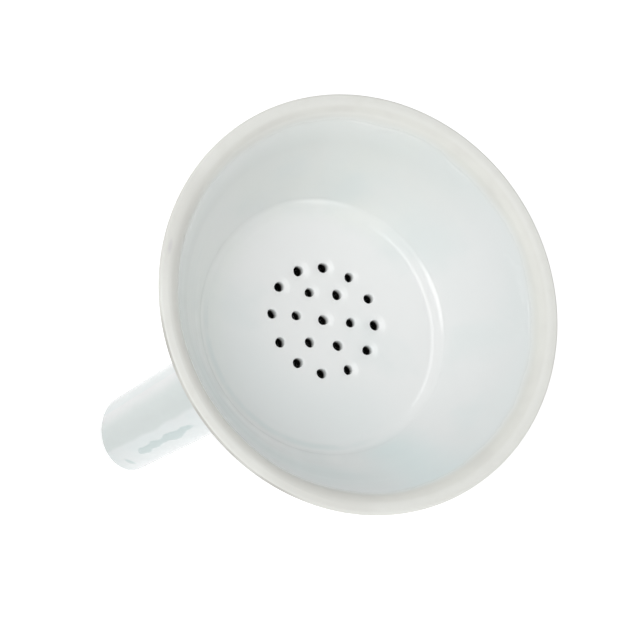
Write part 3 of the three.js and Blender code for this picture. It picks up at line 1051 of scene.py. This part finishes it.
def oblique_stem(material):
    """The stem with its oblique tip, and an outside that the glaze has left slightly uneven."""
    points, faces = turned(stem_outline(), STEM_AROUND)
    slanted = smooth(1 - points[:, 2] / ((THROAT_Z - TIP_MIDDLE_Z) / 2))
    points[:, 2] += TIP_MIDDLE_Z - TIP_FALL * points[:, 0] * slanted
    outer = smooth((radii(points) - (BORE_RADIUS + TIP_RADIUS) / 2) / (1 * MM))
    below_throat = smooth((THROAT_Z - points[:, 2]) / (20 * MM))
    waves = STEM_WAVE * ripple(points * np.array([1, 1, 0.35]), 6 * MM, seed=2.0)
    fine_waves = STEM_FINE_WAVE * ripple(points * np.array([1, 1, 0.6]), 2.4 * MM, seed=4.0)
    run = glaze_run(points)
    shift = (waves + fine_waves - STEM_INSET) * below_throat + RUN_THICKNESS * run
    points = moved_out(points, shift * outer)
    build("oblique_stem", points, faces, "stem", [material], marks={"run": run})


# ---- Camera, light and floor ----

# Which way is right and up in the picture.
CAMERA_RIGHT = Vector((0.893, 0.254, 0.3725))
CAMERA_UP = Vector((-0.348, 0.913, 0.211))
CAMERA_DISTANCE = 12 * MOUTH_RADIUS
CAMERA_ASIDE = (0.2095, 0.089)  # the mouth's middle from the picture's, right and up, in mouth radii
CAMERA_LENS = 146.1
SENSOR_WIDTH = 36
NEAREST_SEEN = 10 * MM


def make_camera():
    """A long lens that looks down into the mouth and past it to the stem."""
    right = CAMERA_RIGHT.normalized()
    back = right.cross(CAMERA_UP).normalized()
    up = back.cross(right)
    data = bpy.data.cameras.new("camera")
    data.lens = CAMERA_LENS
    data.sensor_width = SENSOR_WIDTH
    data.clip_start = NEAREST_SEEN
    camera = add_object("camera", data)
    aside = (right * CAMERA_ASIDE[0] + up * CAMERA_ASIDE[1]) * MOUTH_RADIUS
    place = Vector((0, 0, RIM_Z)) - aside + back * CAMERA_DISTANCE
    camera.matrix_world = Matrix.Translation(place) @ Matrix((right, up, back)).transposed().to_4x4()
    bpy.context.scene.camera = camera


# Name, elevation and azimuth in degrees from the plate's middle, half the angles it spans across and upwards,
# how bright it looks where white paper is 1, and how far off it stands in metres.
LAMPS = (
    ("key_softbox", 39, 208, 19, 19, 3.45, 1.3),
    ("top_softbox", 80, 116, 8.5, 26, 2.2, 1.3),
    ("side_softbox", 38, 314, 14, 14, 1.9, 1.3),
    ("low_card", 8, 315, 12, 12, 1.3, 1.3),
    ("right_card", -9, 318, 10, 10, 5.2, 0.42),
    ("left_card", -9, 143, 10, 10, 2.4, 0.42),
)
ROOM_LIGHT = 0.46
WHITE = (1, 1, 1, 1)


def softbox(name, elevation, azimuth, half_width, half_height, radiance, distance):
    """A round or oval lamp facing the plate's middle."""
    level = radians(elevation)
    turn = radians(azimuth)
    direction = Vector((cos(level) * cos(turn), cos(level) * sin(turn), sin(level)))
    width = 2 * distance * tan(radians(half_width))
    height = 2 * distance * tan(radians(half_height))
    area = pi * width * height / 4
    data = bpy.data.lights.new(name, "AREA")
    data.shape = "ELLIPSE"
    data.size = width
    data.size_y = height
    data.energy = radiance * pi * area
    lamp = add_object(name, data)
    lamp.location = Vector((0, 0, PLATE_TOP_Z)) + direction * distance
    lamp.rotation_mode = "QUATERNION"
    lamp.rotation_quaternion = direction.to_track_quat("Z", "Y")


def seen(n):
    """1 on rays from the camera, off gloss or through glass, and 0 on the rays that light things."""
    rays = n.node("LightPath").outputs
    return n.greatest(rays["Is Camera Ray"], rays["Is Glossy Ray"], rays["Is Transmission Ray"])


def make_world():
    """An even pale room, white where it is seen."""
    world = bpy.data.worlds.new("room")
    world.use_nodes = True
    bpy.context.scene.world = world
    n = Nodes(world.node_tree)
    lit = n.tree.nodes["Background"]
    n.feed(lit.inputs["Color"], WHITE)
    n.feed(lit.inputs["Strength"], ROOM_LIGHT)
    white = n.node("Background", {"Color": WHITE, "Strength": 1.0})
    room = n.node("MixShader", {"Fac": seen(n), 1: lit.outputs["Background"], 2: white.outputs["Background"]})
    n.feed(n.tree.nodes["World Output"].inputs["Surface"], room.outputs["Shader"])


FLOOR_HALF = 3.0  # half the floor's side, in metres
FLOOR_COLOUR = (0.80, 0.80, 0.80, 1)
FLOOR_GLOW = 0.48


def make_floor():
    """A wide pale table under the tip: white where it is seen, but for the funnel's faint shadow."""
    material = bpy.data.materials.new("pale_floor")
    material.use_nodes = True
    n = Nodes(material.node_tree)
    n.tree.nodes.clear()
    diffuse = n.node("BsdfDiffuse", {"Color": FLOOR_COLOUR})
    glow = n.node("Emission", {"Strength": n.times(seen(n), FLOOR_GLOW)})
    both = n.node("AddShader", {0: diffuse.outputs["BSDF"], 1: glow.outputs["Emission"]})
    n.node("OutputMaterial", {"Surface": both.outputs["Shader"]})
    mesh = bpy.data.meshes.new("floor")
    corners = [(x * FLOOR_HALF, y * FLOOR_HALF, TIP_Z) for x, y in ((-1, -1), (1, -1), (1, 1), (-1, 1))]
    mesh.from_pydata(corners, [], [(0, 1, 2, 3)])
    mesh.materials.append(material)
    floor = add_object("floor", mesh)


# ---- The scene ----

bpy.context.scene.view_settings.view_transform = "Standard"
glazed_porcelain = porcelain("glazed_porcelain")
bare_lip(porcelain("bare_porcelain"))
glazed_bowl(glazed_porcelain)
slip_bead(glazed_porcelain)
pierced_plate(glazed_porcelain, porcelain("hole_shade_porcelain", shaded_holes=True))
collecting_cone(glazed_porcelain)
slip_fillet(glazed_porcelain)
oblique_stem(porcelain("stem_porcelain", stem=True))
make_camera()
make_world()
make_floor()
for lamp in LAMPS:
    softbox(*lamp)
